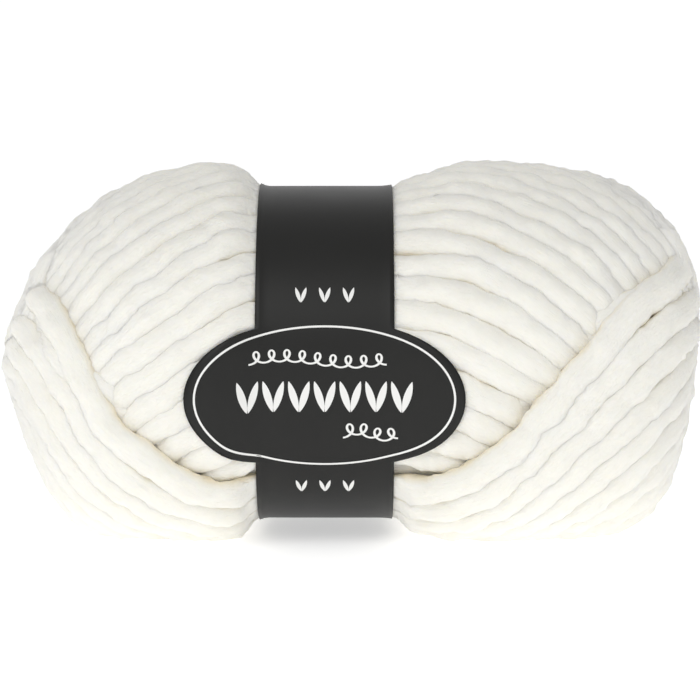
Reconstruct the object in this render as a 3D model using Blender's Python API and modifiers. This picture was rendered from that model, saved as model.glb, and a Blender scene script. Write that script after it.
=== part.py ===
"""A pull-skein of bulky yarn, lying on its flat spot, with a paper band round its waist.

Metres, +Z up. The long axis lies along X and the band's oval panel faces -Y. The origin
is under the middle of the ball, on the surface that it rests on.

A point of the ball is named by two numbers: its way along the outline, from -1 at the
left end to 1 at the right end, and its angle round the long axis, with 0 at the front,
90 at the top and -90 underneath.
"""

import bmesh
import bpy
import numpy as np

# The ball's outer form.
LENGTH = 0.1622
CROWN_HEIGHT = 0.0855
UNDERSIDE = -0.0012  # what is below zero is the flat spot
AXIS_HEIGHT = 0.0420
HALF_DEPTH = 0.0450
LEFT_FULLNESS, LEFT_ROUNDING = 4.5, 1.7  # the sloping end
RIGHT_FULLNESS, RIGHT_ROUNDING = 4.6, 4.6  # the blunt end
LOWER_FULLNESS = 2.6  # the lower half is squarer than a circle, because the ball has settled
LEFT_DROOP, RIGHT_DROOP = 0.0055, 0.0015  # how far the ends' middles hang below the axis
DIMPLE_DEPTH, DIMPLE_SHARE = 0.0028, 0.42  # the hollow at each end, and its share of the radius

# The paper band and its oval panel.
BAND_X = -0.0042
BAND_HALF_WIDTH = 0.0152
PANEL_HALF_WIDTH = 0.0306
PANEL_HALF_HEIGHT = 0.0178
PANEL_ANGLE, PANEL_HALF_ANGLE = -9.7, 23.3
PAPER = 0.0010
PAPER_GAP = 0.0011
WAIST_TOP, WAIST_UNDER, WAIST_FRONT = 0.0055, 0.0042, 0.0030  # how deep the band draws the ball in
LEFT_SHOULDER, RIGHT_SHOULDER = (0.0130, 0.0230), (0.0120, 0.0340)  # where the waist ends
PRESSED, PRESSED_FADE = 0.0044, 0.0042  # yarn stays flat this far past the paper, then swells

# The main wraps, as ridges, and the outer layer that cradles them. Angles are in degrees.
ARCHES, ARCH_HEIGHT = 24, 0.0010
ARCH_MIDDLE, ARCH_DROP, ARCH_POWER = 0.008, 52.0, 2.6  # the arches are highest right of the band
CRADLE_STEP, CRADLE_HEIGHT = 22.0, 0.0009
CRADLE_EDGE, CRADLE_RISE, CRADLE_POWER = -35.0, 92.0, 2.6  # its edge climbs towards both ends
CRADLE_SPAN = 122.0  # how much of the girth it covers
CRADLE_LIFT, CRADLE_SOFTNESS = 0.0021, 7.0

# Fineness of the meshes. An arch takes three of the ball's meridians.
BALL_ROUND, BALL_ALONG = 3 * ARCHES, 48
BAND_ROUND, BAND_ACROSS = 84, 8
OUTLINE_STEPS = 3000

CREAM = (0.84, 0.82, 0.74, 1.0)
BLACK = (0.011, 0.011, 0.010, 1.0)


def clear_scene():
    for thing in list(bpy.data.objects):
        bpy.data.objects.remove(thing)


def smooth_step(low, high, value):
    share = np.clip((value - low) / (high - low), 0.0, 1.0)
    return share * share * (3.0 - 2.0 * share)


def half_outline(fullness, rounding):
    """Half of the outline from the middle to one end: way along it, x, and share of the full radius."""
    x_share = np.sin(np.linspace(0.0, np.pi / 2, OUTLINE_STEPS)) ** (2 / fullness)
    radius = np.clip(1.0 - x_share**fullness, 0.0, 1.0) ** (1 / rounding)
    hollow = np.clip(1.0 - radius / DIMPLE_SHARE, 0.0, 1.0) ** 2
    x = x_share * LENGTH / 2 - DIMPLE_DEPTH * hollow
    steps = np.hypot(np.diff(x), np.diff(radius) * CROWN_HEIGHT / 2)
    way = np.concatenate([[0.0], np.cumsum(steps)])
    return way / way[-1], x, radius


LEFT_OUTLINE = half_outline(LEFT_FULLNESS, LEFT_ROUNDING)
RIGHT_OUTLINE = half_outline(RIGHT_FULLNESS, RIGHT_ROUNDING)


def outline_at(way):
    """x and share of the full radius at a way along the outline, from -1 to 1."""
    left_way, left_x, left_radius = LEFT_OUTLINE
    right_way, right_x, right_radius = RIGHT_OUTLINE
    on_left = way < 0
    x = np.where(on_left, -np.interp(-way, left_way, left_x), np.interp(way, right_way, right_x))
    left = np.interp(-way, left_way, left_radius)
    right = np.interp(way, right_way, right_radius)
    return x, np.where(on_left, left, right)


def way_at(x):
    """The way along the outline at an x near the middle, where the two go together."""
    left_way, left_x, _ = LEFT_OUTLINE
    right_way, right_x, _ = RIGHT_OUTLINE
    near = OUTLINE_STEPS // 2
    left = -np.interp(-x, left_x[:near], left_way[:near])
    return np.where(x < 0, left, np.interp(x, right_x[:near], right_way[:near]))


def waist(x):
    """1 under the band, falling to 0 where the ball has its full girth."""
    from_middle = x - BAND_X
    left = 1.0 - smooth_step(*LEFT_SHOULDER, -from_middle)
    right = 1.0 - smooth_step(*RIGHT_SHOULDER, from_middle)
    return np.where(from_middle < 0, left, right)


def form_point(way, angle, lift=0.0):
    """A point of the plain form, raised by lift across the long axis."""
    x, share = outline_at(way)
    drawn_in = waist(x)
    left_end = smooth_step(0.030, LENGTH / 2, -x)
    right_end = smooth_step(0.040, LENGTH / 2, x)
    axis = AXIS_HEIGHT - LEFT_DROOP * left_end - RIGHT_DROOP * right_end
    above = CROWN_HEIGHT - WAIST_TOP * drawn_in - AXIS_HEIGHT
    below = AXIS_HEIGHT - UNDERSIDE - WAIST_UNDER * drawn_in
    depth = HALF_DEPTH - WAIST_FRONT * drawn_in
    turn = np.radians(angle)
    across, up = np.cos(turn), np.sin(turn)
    fullness = np.where(up < 0, LOWER_FULLNESS, 2.0)
    reach = np.where(up < 0, below, above)
    radius = (np.abs(across / depth) ** fullness + np.abs(up / reach) ** fullness) ** (-1 / fullness)
    radius = radius * share + lift
    return np.stack([x + 0 * turn, -radius * across, axis + radius * up], axis=-1)


def from_panel(angle):
    """How many degrees an angle is from the panel's middle, from -180 to 180."""
    return (angle - PANEL_ANGLE + 180.0) % 360.0 - 180.0


def paper_half_width(angle):
    """Half of the paper's width at an angle: the band's, or the oval panel's where that is wider."""
    height = np.clip(np.abs(from_panel(angle)) / PANEL_HALF_ANGLE, 0.0, 1.0)
    return np.maximum(BAND_HALF_WIDTH, PANEL_HALF_WIDTH * np.sqrt(1.0 - height**2))


def past_paper(x, angle):
    """About how far a point is outside the paper's outline."""
    aside = np.abs(x - BAND_X)
    oval = np.hypot(aside / PANEL_HALF_WIDTH, from_panel(angle) / PANEL_HALF_ANGLE)
    return np.minimum(aside - BAND_HALF_WIDTH, (oval - 1.0) * PANEL_HALF_HEIGHT)


def arch_drop(x):
    """How many degrees an arch has come down at an x. The ball's meridians come down with it."""
    return ARCH_DROP * (np.abs(x - ARCH_MIDDLE) / (LENGTH / 2)) ** ARCH_POWER


def wrap_height(x, angle):
    """The ridges of the main wraps: arches all round, and over them the outer layer, which runs
    from the front's lower side over the ends to the back's upper side."""
    arches = ARCH_HEIGHT * np.cos(np.radians(angle + arch_drop(x)) * ARCHES)
    rise = CRADLE_RISE * (np.abs(x) / (LENGTH / 2)) ** CRADLE_POWER
    under_edge = (CRADLE_EDGE + rise - angle) % 360.0
    cradle = CRADLE_HEIGHT * np.cos(2 * np.pi * under_edge / CRADLE_STEP) + CRADLE_LIFT
    covers = smooth_step(0.0, CRADLE_SOFTNESS, under_edge)
    covers = covers * (1.0 - smooth_step(0.0, CRADLE_SOFTNESS, under_edge - CRADLE_SPAN))
    return arches * (1.0 - covers) + cradle * covers


def make_material(name, colour, roughness):
    material = bpy.data.materials.new(name)
    material.use_nodes = True
    shader = material.node_tree.nodes["Principled BSDF"]
    shader.inputs["Base Color"].default_value = colour
    shader.inputs["Roughness"].default_value = roughness
    shader.inputs["Metallic"].default_value = 0.0
    return material


def add_object(name, mesh_maker, material, collection):
    mesh = bpy.data.meshes.new(name)
    shape = bmesh.new()
    mesh_maker(shape)
    shape.to_mesh(mesh)
    shape.free()
    mesh.shade_smooth()
    mesh.materials.append(material)
    thing = bpy.data.objects.new(name, mesh)
    collection.objects.link(thing)
    return thing


def move_points(shape, place):
    """Moves every vertex of a unit sphere or tube to the place worked out from where it is. The
    ball's frame is a mirror image of the sphere's, so the faces are turned round afterwards."""
    points = np.array([tuple(vertex.co) for vertex in shape.verts])
    for vertex, point in zip(shape.verts, place(points)):
        vertex.co = point


def shape_ball(shape):
    """A sphere with its poles on X, drawn out into the wound form."""
    bmesh.ops.create_uvsphere(shape, u_segments=BALL_ROUND, v_segments=BALL_ALONG, radius=1.0)

    def place(points):
        way = np.arcsin(np.clip(points[:, 2], -1.0, 1.0)) / (np.pi / 2)
        x, share = outline_at(way)
        angle = np.degrees(np.arctan2(points[:, 1], points[:, 0])) - arch_drop(x)
        pressed = 1.0 - smooth_step(PRESSED, PRESSED + PRESSED_FADE, past_paper(x, angle))
        swell = wrap_height(x, angle) * smooth_step(0.0, 0.6, share)
        lift = swell * (1.0 - pressed) - (PAPER + PAPER_GAP) * pressed
        placed = form_point(way, angle, lift * np.minimum(share * 2.0, 1.0))
        placed[:, 2] = np.maximum(placed[:, 2], 0.0)
        return placed

    move_points(shape, place)
    bmesh.ops.reverse_faces(shape, faces=shape.faces)


def shape_band(shape):
    """An open tube round the waist, widened at the front into the oval panel."""
    bmesh.ops.create_cone(
        shape, segments=BAND_ROUND, radius1=1.0, radius2=1.0, depth=2.0, cap_ends=False
    )
    lengthwise = [edge for edge in shape.edges if abs(edge.verts[0].co.z - edge.verts[1].co.z) > 1.0]
    bmesh.ops.subdivide_edges(shape, edges=lengthwise, cuts=BAND_ACROSS - 1, use_grid_fill=True)

    def place(points):
        angle = np.degrees(np.arctan2(points[:, 1], points[:, 0]))
        x = BAND_X + points[:, 2] * paper_half_width(angle)
        return form_point(way_at(x), angle, -PAPER)

    move_points(shape, place)
    bmesh.ops.reverse_faces(shape, faces=shape.faces)


def main():
    clear_scene()
    collection = bpy.data.collections.new("ball_of_yarn")
    bpy.context.scene.collection.children.link(collection)
    yarn = make_material("cream_yarn", CREAM, 0.9)
    paper = make_material("black_paper", BLACK, 0.35)
    add_object("yarn_ball", shape_ball, yarn, collection)
    band = add_object("label_band", shape_band, paper, collection)
    wall = band.modifiers.new("paper_thickness", "SOLIDIFY")
    wall.thickness = PAPER
    wall.offset = 1.0


main()
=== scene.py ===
# %% [markdown]
# # A ball of thick yarn
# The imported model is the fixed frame: it gives the ball's real size and where its paper band sits.
# Everything below is laid on that frame, in metres, with +Z up and the band's panel facing -Y.

import bmesh
import bpy
import numpy as np
from mathutils import Matrix, Vector


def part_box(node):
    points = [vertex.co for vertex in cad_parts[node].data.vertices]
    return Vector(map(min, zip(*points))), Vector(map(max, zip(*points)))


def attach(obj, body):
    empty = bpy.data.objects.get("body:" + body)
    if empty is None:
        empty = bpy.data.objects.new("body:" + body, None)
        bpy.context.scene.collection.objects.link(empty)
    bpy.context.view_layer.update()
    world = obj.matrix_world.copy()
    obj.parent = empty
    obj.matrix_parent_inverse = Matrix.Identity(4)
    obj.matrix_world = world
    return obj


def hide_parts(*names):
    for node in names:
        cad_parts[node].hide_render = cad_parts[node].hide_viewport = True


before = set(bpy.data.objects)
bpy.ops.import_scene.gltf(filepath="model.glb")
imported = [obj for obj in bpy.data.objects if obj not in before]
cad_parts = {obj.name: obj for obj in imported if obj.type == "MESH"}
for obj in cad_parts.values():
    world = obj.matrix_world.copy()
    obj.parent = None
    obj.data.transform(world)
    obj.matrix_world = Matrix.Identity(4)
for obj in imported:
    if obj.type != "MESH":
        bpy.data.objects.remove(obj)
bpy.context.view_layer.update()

ball_low, ball_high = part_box("yarn_ball")
band_low, band_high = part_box("label_band")
print("the ball is", [round(1000 * (b - a), 1) for a, b in zip(ball_low, ball_high)], "mm")

# %% [markdown]
# ## The wound form
# A machine winds the yarn over two ends, so the ball is a long body of revolution that has settled
# a little under its own weight. Each point of it gets two numbers: the way along the outline, -1 at
# the left end and 1 at the right, and the angle round the long axis, 0 in front, 90 on top. A
# formula for the outline is better than a table here, because every strand has to be laid on it.

# %% Sizes of the form
LENGTH = ball_high.x - ball_low.x - 0.0008
CROWN_HEIGHT = ball_high.z - 0.0012
UNDERSIDE = -0.0010  # what is below zero is the flat spot
AXIS_HEIGHT = 0.0420
HALF_DEPTH = (ball_high.y - ball_low.y) / 2 - 0.0008
LEFT_FULLNESS, LEFT_ROUNDING = 4.5, 1.7  # the sloping end
RIGHT_FULLNESS, RIGHT_ROUNDING = 4.6, 4.6  # the blunt end
LOWER_FULLNESS = 2.6  # the lower half is squarer than a circle
LEFT_DROOP, RIGHT_DROOP = 0.0055, 0.0015  # how far the ends' middles hang below the axis
OUTLINE_STEPS = 3000
BAND_X = (band_low.x + band_high.x) / 2
WAIST_TOP, WAIST_UNDER, WAIST_FRONT = 0.0055, 0.0042, 0.0030
LEFT_SHOULDER, RIGHT_SHOULDER = (0.0130, 0.0230), (0.0120, 0.0340)


def smooth_step(low, high, value):
    share = np.clip((value - low) / (high - low), 0.0, 1.0)
    return share * share * (3.0 - 2.0 * share)


def half_outline(fullness, rounding):
    """Way along the outline, x and share of the radius, from the middle to one end."""
    x_share = np.sin(np.linspace(0.0, np.pi / 2, OUTLINE_STEPS)) ** (2 / fullness)
    radius = np.clip(1.0 - x_share**fullness, 0.0, 1.0) ** (1 / rounding)
    steps = np.hypot(np.diff(x_share) * LENGTH / 2, np.diff(radius) * CROWN_HEIGHT / 2)
    way = np.concatenate([[0.0], np.cumsum(steps)])
    return way / way[-1], x_share * LENGTH / 2, radius


LEFT_OUTLINE = half_outline(LEFT_FULLNESS, LEFT_ROUNDING)
RIGHT_OUTLINE = half_outline(RIGHT_FULLNESS, RIGHT_ROUNDING)


def outline_at(way):
    """x and share of the full radius at a way along the outline."""
    x = np.where(
        way < 0,
        -np.interp(-way, LEFT_OUTLINE[0], LEFT_OUTLINE[1]),
        np.interp(way, RIGHT_OUTLINE[0], RIGHT_OUTLINE[1]),
    )
    share = np.where(
        way < 0,
        np.interp(-way, LEFT_OUTLINE[0], LEFT_OUTLINE[2]),
        np.interp(way, RIGHT_OUTLINE[0], RIGHT_OUTLINE[2]),
    )
    return x, share


def way_at(x):
    """The way along the outline at an x that isn't close to an end."""
    near = OUTLINE_STEPS // 2
    left = -np.interp(-x, LEFT_OUTLINE[1][:near], LEFT_OUTLINE[0][:near])
    return np.where(x < 0, left, np.interp(x, RIGHT_OUTLINE[1][:near], RIGHT_OUTLINE[0][:near]))


def waist(x):
    """1 under the band, 0 where the ball has its full girth."""
    aside = x - BAND_X
    left = 1.0 - smooth_step(*LEFT_SHOULDER, -aside)
    return np.where(aside < 0, left, 1.0 - smooth_step(*RIGHT_SHOULDER, aside))


def form_point(way, angle, lift=0.0):
    """A point of the form, raised by lift away from the long axis."""
    x, share = outline_at(way)
    drawn_in = waist(x)
    axis = AXIS_HEIGHT - LEFT_DROOP * smooth_step(0.030, LENGTH / 2, -x)
    axis = axis - RIGHT_DROOP * smooth_step(0.040, LENGTH / 2, x)
    above = CROWN_HEIGHT - WAIST_TOP * drawn_in - AXIS_HEIGHT
    below = AXIS_HEIGHT - UNDERSIDE - WAIST_UNDER * drawn_in
    depth = HALF_DEPTH - WAIST_FRONT * drawn_in
    turn = np.radians(angle)
    across, up = np.cos(turn), np.sin(turn)
    fullness = np.where(up < 0, LOWER_FULLNESS, 2.0)
    reach = np.where(up < 0, below, above)
    radius = (np.abs(across / depth) ** fullness + np.abs(up / reach) ** fullness) ** (-1 / fullness)
    radius = radius * share + lift
    return np.stack([x + 0 * turn, -radius * across, axis + radius * up], axis=-1)


def form_normal(way, angle):
    """The form's outward direction, from two short steps along it."""
    along = form_point(way + 0.004, angle) - form_point(way - 0.004, angle)
    round_it = form_point(way, angle + 0.5) - form_point(way, angle - 0.5)
    normal = np.cross(along, round_it)
    length = np.linalg.norm(normal, axis=-1, keepdims=True)
    return normal / np.maximum(length, 1e-12)


middle = form_point(np.array([0.0, 0.0]), np.array([90.0, -90.0]))
print("height at the band", np.round(1000 * (middle[0, 2] - middle[1, 2]), 1), "mm")

# %% [markdown]
# ## Where the paper lies
# The paper band is a sleeve with parallel sides, and its oval panel in front is wider than the band.
# One function gives its half width at each angle, and another how far a point is from its edge, so
# that the yarn can be pressed flat beneath it.

# %% The paper's outline
BAND_HALF_WIDTH = 0.0152
PANEL_HALF_WIDTH, PANEL_HALF_HEIGHT = 0.0306, 0.0178
PANEL_ANGLE, PANEL_HALF_ANGLE = -9.7, 23.3
NEAR_PAPER_X = 0.060  # past this, the paper has no hold on the yarn
UNDER_PAPER, SWELL = 0.0006, 0.0065  # yarn stays this far below the paper, and rises again beside it
SWELL_START, SWELL_END = 0.0004, 0.0075


def from_panel(angle):
    """How many degrees an angle is from the panel's middle, from -180 to 180."""
    return (angle - PANEL_ANGLE + 180.0) % 360.0 - 180.0


def paper_half_width(angle):
    """Half of the paper's width: the band's, or the oval panel's where that is wider."""
    height = np.clip(np.abs(from_panel(angle)) / PANEL_HALF_ANGLE, 0.0, 1.0)
    return np.maximum(BAND_HALF_WIDTH, PANEL_HALF_WIDTH * np.sqrt(1.0 - height**2))


def past_paper(x, angle):
    """About how far a point is outside the paper's outline; negative under the paper."""
    aside = np.abs(x - BAND_X)
    oval = np.hypot(aside / PANEL_HALF_WIDTH, from_panel(angle) / PANEL_HALF_ANGLE)
    return np.minimum(aside - BAND_HALF_WIDTH, (oval - 1.0) * PANEL_HALF_HEIGHT)


def pressed_by_paper(points):
    """Pushes points that would stand through the paper back under it."""
    x = np.clip(points[:, 0], -NEAR_PAPER_X, NEAR_PAPER_X)
    way = way_at(x)
    share = outline_at(way)[1]
    level = form_point(way, np.zeros(len(x)))[:, 2]
    angle = np.degrees(np.arctan2(points[:, 2] - level, -points[:, 1]))
    surface = form_point(way, angle)
    reach = np.hypot(surface[:, 1], surface[:, 2] - level)
    radius = np.hypot(points[:, 1], points[:, 2] - level)
    past = past_paper(points[:, 0], angle)
    limit = reach - UNDER_PAPER + SWELL * smooth_step(SWELL_START, SWELL_END, past)
    near = (np.abs(points[:, 0]) < NEAR_PAPER_X - 0.002) & (radius > limit)
    scale = np.where(near, limit / np.maximum(radius, 1e-6), 1.0)
    pressed = points.copy()
    pressed[:, 1] *= scale
    pressed[:, 2] = level + (points[:, 2] - level) * scale
    return pressed


print("the panel is", round(2000 * PANEL_HALF_WIDTH), "mm wide")

# %% [markdown]
# ## Small helpers
# Yarn is never even. A sum of sine waves in random directions is a cheap, smooth unevenness, which a
# fixed seed keeps the same on every run. The second helper copies one small mesh many times with an
# Array modifier, and then puts every copy in its own place.

# %% Unevenness and arrays
random = np.random.default_rng(41)


def unevenness(points, size, waves=9):
    """Smooth values between about -1 and 1 over points, with bumps of about the given size."""
    directions = random.normal(size=(waves, 3))
    directions /= np.linalg.norm(directions, axis=1, keepdims=True)
    pace = 2 * np.pi / size * random.uniform(0.6, 1.4, waves)
    phase = random.uniform(0, 2 * np.pi, waves)
    total = np.sin(points @ (directions * pace[:, None]).T + phase).sum(axis=-1)
    return total / np.sqrt(waves / 2) / 1.6


def array_of(template, count, name):
    """One mesh object of count copies of a template, one after the other, all in the same place."""
    single = bpy.data.objects.new(name + "_single", template)
    bpy.context.scene.collection.objects.link(single)
    array = single.modifiers.new("copies", "ARRAY")
    array.count = count
    array.use_relative_offset = False
    array.use_merge_vertices = False
    graph = bpy.context.evaluated_depsgraph_get()
    mesh = bpy.data.meshes.new_from_object(single.evaluated_get(graph))
    mesh.name = name
    bpy.data.objects.remove(single)
    piece = bpy.data.objects.new(name, mesh)
    bpy.context.scene.collection.objects.link(piece)
    return piece


def corner_points(mesh):
    points = np.empty(len(mesh.vertices) * 3)
    mesh.vertices.foreach_get("co", points)
    return points.reshape(-1, 3)


def put_points(piece, points):
    piece.data.vertices.foreach_set("co", points.astype(np.float32).ravel())
    piece.data.update()


def point_values(piece, name, kind, values):
    """Stores a value or a vector for each vertex, for the material to read."""
    layer = piece.data.attributes.new(name, kind, "POINT")
    field = "value" if kind == "FLOAT" else "vector"
    layer.data.foreach_set(field, values.astype(np.float32).ravel())


def finish_piece(piece, material, slot, *nodes):
    piece.data.materials.clear()
    piece.data.materials.append(material)
    piece.data.shade_smooth()
    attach(piece, "root")
    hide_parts(*nodes)
    triangles = sum(len(face.vertices) - 2 for face in piece.data.polygons)
    print(piece.name, triangles, "triangles before modifiers")


# %% [markdown]
# ## How the wraps run
# Seen from the front, a wrap is an arch: it runs nearly level over the middle and comes down towards
# both ends, goes round the end close to its hollow, and comes back behind as a cradle, a curve that
# climbs towards the ends. So one closed loop is an arch on one side and a cradle on the other, and
# the next loop is the same one turned a little about the long axis. The two short tables say how far
# an arch has come down, and a cradle has climbed, at each way along the outline.

# %% The run of one loop
ARCH_RUN = {
    "way": [-0.92, -0.84, -0.73, -0.62, -0.52, -0.42, -0.30, -0.18, -0.06, 0.07,
            0.20, 0.31, 0.42, 0.52, 0.62, 0.73, 0.84, 0.92],
    "drop": [86, 73, 60, 48, 36, 27, 18, 9, 3, 0,
             3, 10, 20, 32, 46, 59, 72, 86],
}
CRADLE_RUN = {
    "way": [-0.92, -0.84, -0.74, -0.64, -0.54, -0.45, -0.33, -0.18, 0.0,
            0.13, 0.22, 0.31, 0.42, 0.52, 0.62, 0.73, 0.84, 0.92],
    "rise": [86, 74, 60, 44, 29, 18, 7, 1, 0,
             2, 7, 16, 32, 46, 57, 67, 76, 86],
}
LOOPS = 41
TURN = 0.92  # the way at which the two tables meet
HALF_TURN = ARCH_RUN["drop"][0] + CRADLE_RUN["rise"][0]
CRADLE_MIDDLE = -38.0  # the angle of the outer layer's edge, under the band
CRADLE_LOOPS = 14  # how many loops the outer layer has


def squeezed(way, turn):
    """Moves the outer part of a run in or out, so that it goes round the end at way turn."""
    outside = np.clip((np.abs(way) - 0.5) / (TURN - 0.5), 0.0, 1.0)
    return np.sign(way) * (np.minimum(np.abs(way), 0.5) + outside * (turn - 0.5))


def closed_curve(points, count):
    """count evenly spaced points on the smooth closed curve through a few points of a unit sphere."""
    before, after, next_one = np.roll(points, 1, 0), np.roll(points, -1, 0), np.roll(points, -2, 0)
    share = np.linspace(0.0, 1.0, 16, endpoint=False)[None, :, None]
    here, there = points[:, None], after[:, None]
    leave, arrive = (after - before)[:, None] / 2, (next_one - points)[:, None] / 2
    curve = (
        (2 * share**3 - 3 * share**2 + 1) * here
        + (share**3 - 2 * share**2 + share) * leave
        + (3 * share**2 - 2 * share**3) * there
        + (share**3 - share**2) * arrive
    ).reshape(-1, points.shape[1])
    gaps = np.linalg.norm(np.diff(curve, axis=0, append=curve[:1]), axis=1)
    along = np.concatenate([[0.0], np.cumsum(gaps)])
    wanted = np.linspace(0.0, along[-1], count, endpoint=False)
    closed = np.concatenate([curve, curve[:1]])
    return np.stack([np.interp(wanted, along, closed[:, axis]) for axis in range(3)], axis=1)


def loop_run(arch_angle, turn, count):
    """Way and angle at evenly spaced points of one loop."""
    ways = np.concatenate([ARCH_RUN["way"], CRADLE_RUN["way"][::-1]])
    angles = np.concatenate([
        arch_angle - np.array(ARCH_RUN["drop"], float),
        arch_angle - HALF_TURN + np.array(CRADLE_RUN["rise"][::-1], float),
    ])
    ways = squeezed(ways, turn)
    keep = np.ones(len(ways), bool)
    keep[[0, -1]] = [True, False]
    keep[len(ARCH_RUN["way"])] = False  # both runs name the turning point
    ways, angles = ways[keep], angles[keep]
    tilt, turn_round = ways * np.pi / 2, np.radians(angles)
    places = np.stack(
        [np.sin(tilt), np.cos(tilt) * np.cos(turn_round), np.cos(tilt) * np.sin(turn_round)], axis=1
    )
    curve = closed_curve(places, count)
    curve /= np.linalg.norm(curve, axis=1, keepdims=True)
    way = np.arcsin(curve[:, 0]) / (np.pi / 2)
    angle = np.degrees(np.arctan2(curve[:, 2], curve[:, 1]))
    return way, angle


CRADLE_TURNS = [0.72, 0.79, 0.85, 0.90]  # where the outer layer's first loops go round the ends


def cradle_edge(way):
    """The angle of the outer layer's upper edge in front, at each way along the outline."""
    ways = squeezed(np.array(CRADLE_RUN["way"]), CRADLE_TURNS[0])
    return CRADLE_MIDDLE + np.interp(way, ways, CRADLE_RUN["rise"])


print("each loop is", round(360 / LOOPS, 1), "degrees from the next")

# %% [markdown]
# ## Strands
# A strand is a soft tube that its neighbours press out of round. Its mesh is a ring spun into a
# torus; every vertex of the torus knows how far along and how far round it is, and is then placed on
# the strand's own run. The twist of the plies and the uneven thickness of brushed yarn come from
# small changes of the tube's radius.

# %% A torus to bend into strands
STRAND_RINGS, STRAND_SIDES = 260, 14


def torus_template(rings, sides):
    shape = bmesh.new()
    bmesh.ops.create_circle(shape, segments=sides, radius=0.3)
    bmesh.ops.rotate(shape, verts=shape.verts, matrix=Matrix.Rotation(np.pi / 2, 3, "X"))
    bmesh.ops.translate(shape, verts=shape.verts, vec=(1.0, 0.0, 0.0))
    bmesh.ops.spin(
        shape, geom=shape.verts[:] + shape.edges[:], cent=(0, 0, 0), axis=(0, 0, 1),
        angle=2 * np.pi, steps=rings, use_merge=True,
    )
    bmesh.ops.recalc_face_normals(shape, faces=shape.faces)
    mesh = bpy.data.meshes.new("strand_template")
    shape.to_mesh(mesh)
    shape.free()
    points = corner_points(mesh)
    along = np.arctan2(points[:, 1], points[:, 0]) / (2 * np.pi) % 1.0
    round_it = np.arctan2(points[:, 2], np.hypot(points[:, 0], points[:, 1]) - 1.0)
    return mesh, np.rint(along * rings).astype(int) % rings, round_it


strand_mesh, strand_ring, strand_round = torus_template(STRAND_RINGS, STRAND_SIDES)
print("one strand has", len(strand_mesh.vertices), "vertices")

# %% The path of every loop
STRAND_WIDE, STRAND_HIGH = 0.0035, 0.0029  # halves of a strand's width and height
LAYER_UPPER, LAYER_LOWER, LAYER_CRADLE = -0.0026, -0.0068, -0.0006
INNER_TURN = 0.90  # the way at which the loops beneath the outer layer go round the ends
ARCH_OFFSET = 4.3  # degrees that all arches are turned by, which sets where the gaps between them fall


def smoothed(values, reach):
    """Evens out values that run round a closed loop."""
    kernel = np.hanning(2 * reach + 3)[1:-1]
    kernel /= kernel.sum()
    padded = np.concatenate([values[-reach:], values, values[:reach]])
    if padded.ndim == 1:
        return np.convolve(padded, kernel, "valid")
    return np.stack([np.convolve(column, kernel, "valid") for column in padded.T], axis=1)


def is_arch_part(angle, arch_angle):
    """1 along a loop's arch half, 0 along its cradle half, with a short change at each end."""
    from_arch = (arch_angle - angle) % 360.0
    from_arch = np.where(from_arch > 270, 0, from_arch)
    return 1 - smooth_step(HALF_TURN / 2 - 12, HALF_TURN / 2 + 12, from_arch)


def loop_path(number):
    """The centre line of one loop, and the outward direction along it."""
    in_cradle = number < CRADLE_LOOPS
    arch_angle = CRADLE_MIDDLE + HALF_TURN - number * 360 / LOOPS - ARCH_OFFSET
    turn = CRADLE_TURNS[min(number, len(CRADLE_TURNS) - 1)] if in_cradle else INNER_TURN
    way, angle = loop_run(arch_angle, turn, STRAND_RINGS)
    to_edge = (cradle_edge(way) - angle) % 360.0
    to_edge = np.where(to_edge > 300, to_edge - 360, to_edge)
    span = CRADLE_LOOPS * 360 / LOOPS
    under = smooth_step(-7.0, 4.0, to_edge) * (1 - smooth_step(-4.0, 7.0, to_edge - span))
    is_arch = is_arch_part(angle, arch_angle)
    arch_lift = LAYER_UPPER + (LAYER_LOWER - LAYER_UPPER) * under
    cradle_lift = LAYER_LOWER + (LAYER_CRADLE - LAYER_LOWER) * under
    lift = arch_lift * is_arch + cradle_lift * (1 - is_arch)
    if in_cradle:
        end = smooth_step(0.58, 0.74, np.abs(way))
        over = LAYER_CRADLE - 0.0005 * min(number, 9)
        lift = lift * (1 - end) + over * end
    else:
        end = smooth_step(0.60, 0.85, np.abs(way))
        lift = lift * (1 - end) + (LAYER_LOWER + 0.0001 * (number % 7)) * end
    lift = smoothed(lift, 7)
    centre = form_point(way, angle) + form_normal(way, angle) * lift[:, None]
    centre = smoothed(centre, 3)
    return centre, form_normal(way, angle)


print("the outer layer has", CRADLE_LOOPS, "of the", LOOPS, "loops")

# %% Strands into meshes
TWIST_LENGTH = 0.0125


def place_strand(centre, normal, wide, high, phase):
    """The points of one strand's tube, a value from its underside (0) to its top (1) that places the
    painted shade in the grooves, and its own straight space.
    """
    forward = np.roll(centre, -1, 0) - np.roll(centre, 1, 0)
    forward /= np.linalg.norm(forward, axis=1, keepdims=True)
    aside = np.cross(forward, normal)
    aside /= np.linalg.norm(aside, axis=1, keepdims=True)
    outward = np.cross(aside, forward)
    length = np.concatenate([[0.0], np.cumsum(np.linalg.norm(np.diff(centre, axis=0), axis=1))])
    ring, turn = strand_ring, strand_round
    run = length[ring]
    straight = np.stack([np.cos(turn) * wide, np.sin(turn) * high, run], axis=1)
    plies = 0.07 * np.cos(2 * turn - 2 * np.pi * run / TWIST_LENGTH + phase)
    thickness = 1.0 + plies + 0.06 * unevenness(straight + phase, 0.010)
    surface = 0.00022 * unevenness(straight + phase, 0.0030)
    surface += 0.00012 * unevenness(straight, 0.0016)
    cosine, sine = np.cos(turn)[:, None], np.sin(turn)[:, None]
    out = aside[ring] * cosine * wide + outward[ring] * sine * high
    points = centre[ring] + out * thickness[:, None]
    points += out / np.linalg.norm(out, axis=1, keepdims=True) * surface[:, None]
    return points, np.clip(0.5 + 0.5 * np.sin(turn), 0, 1), straight


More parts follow.
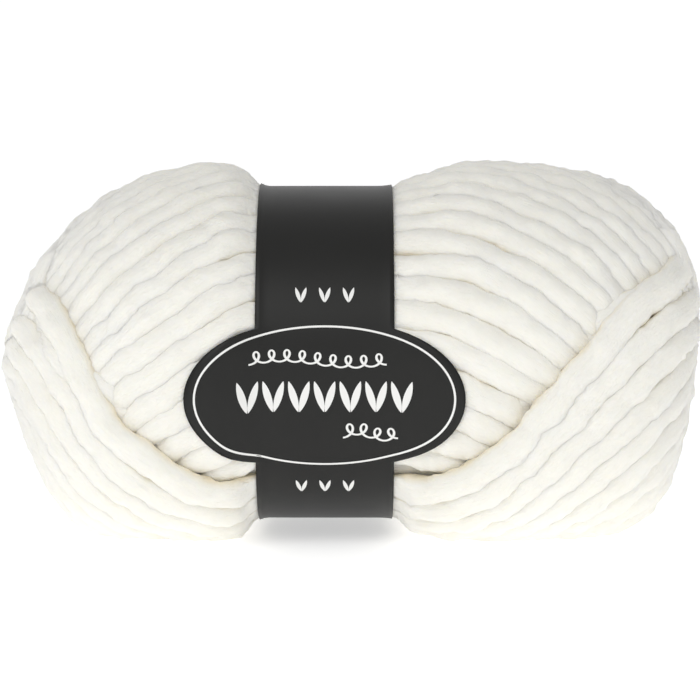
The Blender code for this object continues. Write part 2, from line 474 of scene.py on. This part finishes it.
def make_strands(name, numbers):
    """One piece of several loops, with the values that the yarn's material reads."""
    piece = array_of(strand_mesh, len(numbers), name)
    points, depths, spaces = [], [], []
    for number in numbers:
        centre, normal = loop_path(number)
        wander = 0.0005 * unevenness(centre + number, 0.030)
        centre = centre + np.cross(normal, np.gradient(centre, axis=0) / 0.0015) * wander[:, None]
        placed, depth, straight = place_strand(centre, normal, STRAND_WIDE, STRAND_HIGH, number * 1.7)
        points.append(placed)
        depths.append(depth)
        spaces.append(straight + [0.0, 0.0, 0.5 * number])
    points = pressed_by_paper(np.concatenate(points))
    points[:, 2] = np.maximum(points[:, 2], 0.0)
    put_points(piece, points)
    point_values(piece, "depth", "FLOAT", np.concatenate(depths))
    point_values(piece, "strand_space", "FLOAT_VECTOR", np.concatenate(spaces))
    return piece


outer_wraps = make_strands("outer_wraps", range(0, CRADLE_LOOPS))
inner_wraps = make_strands("inner_wraps", range(CRADLE_LOOPS, 28))
first_wraps = make_strands("first_wraps", range(28, LOOPS))
print("the wraps are in three pieces, the outer layer's first")

# %% [markdown]
# ## Materials
# Brushed acrylic is nearly white, and the light that goes from fibre to fibre makes its grooves a
# warm beige; here that beige is painted shade, mixed into the colour towards each strand's sides and
# underside. Its fibres could be modelled as hairs. Here they are relief in the material, which
# keeps the meshes light: fine lines along the strand, broken by soft clouds.

# %% Shader arithmetic
class Socket:
    """Wraps a node's output, so that shader maths can be written as plain expressions."""

    def __init__(self, tree, out):
        self.tree, self.out = tree, out

    def math(self, operation, *values):
        return node(self.tree, "ShaderNodeMath", {"operation": operation}, dict(enumerate(values)))

    def __add__(self, other):
        return self.math("ADD", self, other)

    def __radd__(self, other):
        return self.math("ADD", other, self)

    def __mul__(self, other):
        return self.math("MULTIPLY", self, other)

    def __rmul__(self, other):
        return self.math("MULTIPLY", other, self)


def node(tree, kind, settings, inputs, output=0):
    """Adds a node with its settings and its sockets' values or links, and returns one output."""
    made = tree.nodes.new(kind)
    for name, value in settings.items():
        setattr(made, name, value)
    for name, value in inputs.items():
        if isinstance(value, Socket):
            tree.links.new(value.out, made.inputs[name])
        else:
            made.inputs[name].default_value = value
    return Socket(tree, made.outputs[output])


def new_material(name):
    material = bpy.data.materials.new(name)
    material.use_nodes = True
    tree = material.node_tree
    return material, tree, tree.nodes["Principled BSDF"]


def connect(shader, name, value):
    value.tree.links.new(value.out, shader.inputs[name])


# %% The yarn
def yarn_material():
    material, tree, shader = new_material("cream_yarn")
    space = node(tree, "ShaderNodeAttribute", {"attribute_name": "strand_space"}, {}, "Vector")
    depth = node(tree, "ShaderNodeAttribute", {"attribute_name": "depth"}, {}, "Fac")
    along = node(tree, "ShaderNodeMapping", {}, {"Vector": space, "Scale": (2600, 2600, 420)})
    fibres = node(tree, "ShaderNodeTexNoise", {}, {"Vector": along, "Scale": 1.0, "Detail": 3.0}, "Fac")
    object_space = node(tree, "ShaderNodeTexCoord", {}, {}, "Object")
    clouds = node(
        tree, "ShaderNodeTexNoise", {}, {"Vector": object_space, "Scale": 900.0, "Detail": 4.0}, "Fac"
    )
    patches = node(
        tree, "ShaderNodeTexNoise", {}, {"Vector": object_space, "Scale": 60.0, "Detail": 2.0}, "Fac"
    )
    tone = node(
        tree, "ShaderNodeMix", {"data_type": "RGBA"},
        {0: patches, 6: (0.94, 0.915, 0.84, 1), 7: (0.96, 0.94, 0.875, 1)}, 2,
    )
    # Painted shade: towards each strand's sides and underside, where it dips into the grooves between
    # wraps, the colour is mixed towards a warm beige.
    painted_groove_shade = node(
        tree, "ShaderNodeMapRange", {},
        {"Value": depth, "From Min": 0.35, "From Max": 0.75, "To Min": 1.0, "To Max": 0.0},
    )
    colour = node(
        tree, "ShaderNodeMix", {"data_type": "RGBA"}, {0: painted_groove_shade, 6: tone, 7: (0.88, 0.79, 0.60, 1)}, 2
    )
    connect(shader, "Base Color", colour)
    shader.inputs["Roughness"].default_value = 0.95
    shader.inputs["Specular IOR Level"].default_value = 0.25
    shader.inputs["Sheen Weight"].default_value = 0.25
    shader.inputs["Sheen Roughness"].default_value = 0.5
    shader.inputs["Subsurface Weight"].default_value = 0.35
    shader.inputs["Subsurface Radius"].default_value = (1.0, 0.9, 0.7)
    shader.inputs["Subsurface Scale"].default_value = 0.0012
    relief = fibres * 0.6 + clouds * 0.6
    bump = node(tree, "ShaderNodeBump", {}, {"Height": relief, "Strength": 0.7, "Distance": 0.0006})
    connect(shader, "Normal", bump)
    return material


yarn = yarn_material()
for piece in (outer_wraps, inner_wraps, first_wraps):
    finish_piece(piece, yarn, "cream_yarn", "yarn_ball")

# %% [markdown]
# ## The paper band
# The real band is a strip of coated paper, die-cut with the oval and glued into a sleeve. An open
# tube, drawn to the paper's outline and given a thin wall, keeps its cut edge visible.

# %% The sleeve
PAPER = 0.0003


def band_mesh():
    shape = bmesh.new()
    bmesh.ops.create_cone(shape, segments=240, radius1=1.0, radius2=1.0, depth=2.0, cap_ends=False)
    lengthwise = [edge for edge in shape.edges if abs(edge.verts[0].co.z - edge.verts[1].co.z) > 1.0]
    bmesh.ops.subdivide_edges(shape, edges=lengthwise, cuts=27, use_grid_fill=True)
    points = np.array([tuple(vertex.co) for vertex in shape.verts])
    angle = np.degrees(np.arctan2(points[:, 1], points[:, 0]))
    x = BAND_X + points[:, 2] * paper_half_width(angle)
    for vertex, place in zip(shape.verts, form_point(way_at(x), angle, -PAPER)):
        vertex.co = place
    bmesh.ops.reverse_faces(shape, faces=shape.faces)
    mesh = bpy.data.meshes.new("paper_band")
    shape.to_mesh(mesh)
    shape.free()
    return mesh


def paper_material():
    material, tree, shader = new_material("black_paper")
    place = node(tree, "ShaderNodeTexCoord", {}, {}, "Object")
    grain = node(tree, "ShaderNodeTexNoise", {}, {"Vector": place, "Scale": 2500.0, "Detail": 3.0}, "Fac")
    clouds = node(tree, "ShaderNodeTexNoise", {}, {"Vector": place, "Scale": 70.0, "Detail": 3.0}, "Fac")
    tone = node(
        tree, "ShaderNodeMix", {"data_type": "RGBA"},
        {0: clouds, 6: (0.0105, 0.0105, 0.0098, 1), 7: (0.014, 0.014, 0.013, 1)}, 2,
    )
    connect(shader, "Base Color", tone)
    connect(shader, "Roughness", 0.40 + clouds * 0.08)
    shader.inputs["Specular IOR Level"].default_value = 0.3
    bump = node(tree, "ShaderNodeBump", {}, {"Height": grain, "Strength": 0.08, "Distance": 0.0001})
    connect(shader, "Normal", bump)
    return material


paper_band = bpy.data.objects.new("paper_band", band_mesh())
bpy.context.scene.collection.objects.link(paper_band)
wall = paper_band.modifiers.new("paper_thickness", "SOLIDIFY")
wall.thickness, wall.offset = PAPER, 1.0
finish_piece(paper_band, paper_material(), "black_paper", "label_band")
round_the_waist = np.linspace(-180.0, 180.0, 721)
waist_line = form_point(np.full(721, way_at(np.array(BAND_X))), round_the_waist)

# %% [markdown]
# ## The print
# The print is white ink on black paper: an oval line that follows the panel's edge, and a plain
# knitting motif. It could be painted by the paper's material, but thin geometry keeps its edges
# sharp from close by. Every stroke is one small grid, laid along its own path on the paper. The
# motif's leaves are knit stitches, and the looped lines are a thread of yarn.

# %% Ink on the paper
MM_PER_DEGREE = 0.000755
INK_LIFT = 0.00014


def on_paper(x, up):
    """A place on the paper, from metres right of and above the panel's middle."""
    wing = smooth_step(0.0, 0.0010, np.abs(x) - BAND_HALF_WIDTH) * 0.00003
    return form_point(way_at(BAND_X + x), PANEL_ANGLE + up / MM_PER_DEGREE, INK_LIFT + wing)


def stroke_template(steps):
    shape = bmesh.new()
    bmesh.ops.create_grid(shape, x_segments=steps, y_segments=1, size=1.0)
    mesh = bpy.data.meshes.new("stroke_template")
    shape.to_mesh(mesh)
    shape.free()
    points = corner_points(mesh)
    return mesh, points[:, 0] / 2 + 0.5, np.sign(points[:, 1])


def lay_strokes(name, steps, paths):
    """One piece of ink. A path gives x, up and half of the width at shares along it."""
    mesh, share, side = stroke_template(steps)
    piece = array_of(mesh, len(paths), name)
    placed = []
    for path in paths:
        x, up, half = path(share)
        ahead_x, ahead_up, _ = path(share + 0.001)
        run_x, run_up = ahead_x - x, ahead_up - up
        length = np.maximum(np.hypot(run_x, run_up), 1e-9)
        placed.append(on_paper(x - run_up / length * half * side, up + run_x / length * half * side))
    put_points(piece, np.concatenate(placed))
    return piece


def oval_line(share):
    """The line inside the panel's edge."""
    turn = 2 * np.pi * share
    return 0.0283 * np.cos(turn), 0.0158 * np.sin(turn), 0.00023 + 0 * share


def leaf(x, up, size, lean):
    """One half of a knit stitch, leaning left (-1) or right (1)."""
    def path(share):
        along = 0.5 - share
        width = 0.00085 * np.clip(np.sin(np.pi * share), 0.02, 1.0) ** 0.7
        return x + lean * size * (0.00125 + 0.0022 * along), up + size * 0.0072 * along, size * width
    return path


def stitches(x, up, size, count, pitch):
    """The leaves of a row of knit stitches."""
    leaves = []
    for number in range(count):
        middle_x = x + (number - (count - 1) / 2) * pitch
        leaves += [leaf(middle_x, up, size, -1), leaf(middle_x, up, size, 1)]
    return leaves


def looped_thread(x, up, length, loops):
    """A thread that runs to the right in small loops."""
    def path(share):
        turn = 2 * np.pi * loops * share
        slope = 0.0007 * np.sin(2 * np.pi * share)
        return (
            x + length * share + 0.0013 * np.sin(turn), up + slope - 0.0013 * np.cos(turn),
            0.00020 + 0.00008 * np.sin(turn) ** 2,
        )
    return path


ink = bpy.data.materials.new("white_ink")
ink.use_nodes = True
ink.node_tree.nodes["Principled BSDF"].inputs["Base Color"].default_value = (0.87, 0.87, 0.85, 1)
ink.node_tree.nodes["Principled BSDF"].inputs["Roughness"].default_value = 0.5
print_lines = lay_strokes("print_lines", 240, [
    oval_line, looped_thread(-0.0165, 0.0085, 0.0300, 9), looped_thread(0.0040, -0.0080, 0.0120, 4),
])
motif = stitches(0.0, 0.0, 0.95, 7, 0.0056)
motif += stitches(0.0, 0.0232, 0.5, 3, 0.0052) + stitches(0.0, -0.0222, 0.5, 3, 0.0052)
print_motif = lay_strokes("print_motif", 12, motif)
for piece in (print_lines, print_motif):
    finish_piece(piece, ink, "black_paper", "label_band")

# %% [markdown]
# ## Camera, light and floor
# The ball lies on a white sweep that curves up behind it, so no horizon shows. A large soft key light
# from the upper left, a weak fill from the right and an even sky keep the wraps' relief soft. A long
# lens keeps the perspective flat.

# %% Stage
def add_stage():
    """A floor that curves up into a backdrop, so that no horizon shows."""
    shape = bmesh.new()
    bmesh.ops.create_grid(shape, x_segments=1, y_segments=40, size=2.5)
    for vertex in shape.verts:
        past_flat = max(vertex.co.y - 1.0, 0.0)
        vertex.co.z = 1.3 * past_flat**2
    mesh = bpy.data.meshes.new("backdrop")
    shape.to_mesh(mesh)
    shape.free()
    mesh.shade_smooth()
    floor = bpy.data.objects.new("backdrop", mesh)
    bpy.context.scene.collection.objects.link(floor)
    material, tree, shader = new_material("pale_floor")
    shader.inputs["Emission Color"].default_value = (1, 1, 1, 1)
    shader.inputs["Emission Strength"].default_value = 0.50
    shader.inputs["Base Color"].default_value = (0.9, 0.9, 0.9, 1)
    shader.inputs["Roughness"].default_value = 0.9
    floor.data.materials.append(material)


def add_light(name, size, power, place, target):
    """A rectangular lamp that faces a target."""
    lamp = bpy.data.lights.new(name, "AREA")
    lamp.shape = "RECTANGLE"
    lamp.size, lamp.size_y = size
    lamp.energy = power
    thing = bpy.data.objects.new(name, lamp)
    thing.location = place
    thing.rotation_euler = (Vector(target) - Vector(place)).to_track_quat("-Z", "Y").to_euler()
    bpy.context.scene.collection.objects.link(thing)


def add_camera():
    """A long lens in front of the ball, looking slightly down."""
    lens = bpy.data.cameras.new("camera")
    lens.lens, lens.sensor_width = 135.0, 36.0
    thing = bpy.data.objects.new("camera", lens)
    distance, elevation = 0.612, np.radians(5.0)
    target = Vector((0.0013, 0.0, 0.0414))
    thing.location = target + Vector((0, -np.cos(elevation), np.sin(elevation))) * distance
    thing.rotation_euler = (target - thing.location).to_track_quat("-Z", "Y").to_euler()
    bpy.context.scene.collection.objects.link(thing)
    bpy.context.scene.camera = thing


add_stage()
add_light("key", (0.8, 0.6), 3.1, (-0.35, -0.7, 0.65), (0, 0, 0.04))
add_light("fill", (0.8, 0.8), 0.6, (0.6, -0.8, 0.2), (0, 0, 0.04))
world = bpy.data.worlds.new("studio")
bpy.context.scene.world = world
world.use_nodes = True
world.node_tree.nodes["Background"].inputs["Color"].default_value = (1, 1, 1, 1)
world.node_tree.nodes["Background"].inputs["Strength"].default_value = 0.46
bpy.context.scene.view_settings.view_transform = "Standard"
add_camera()
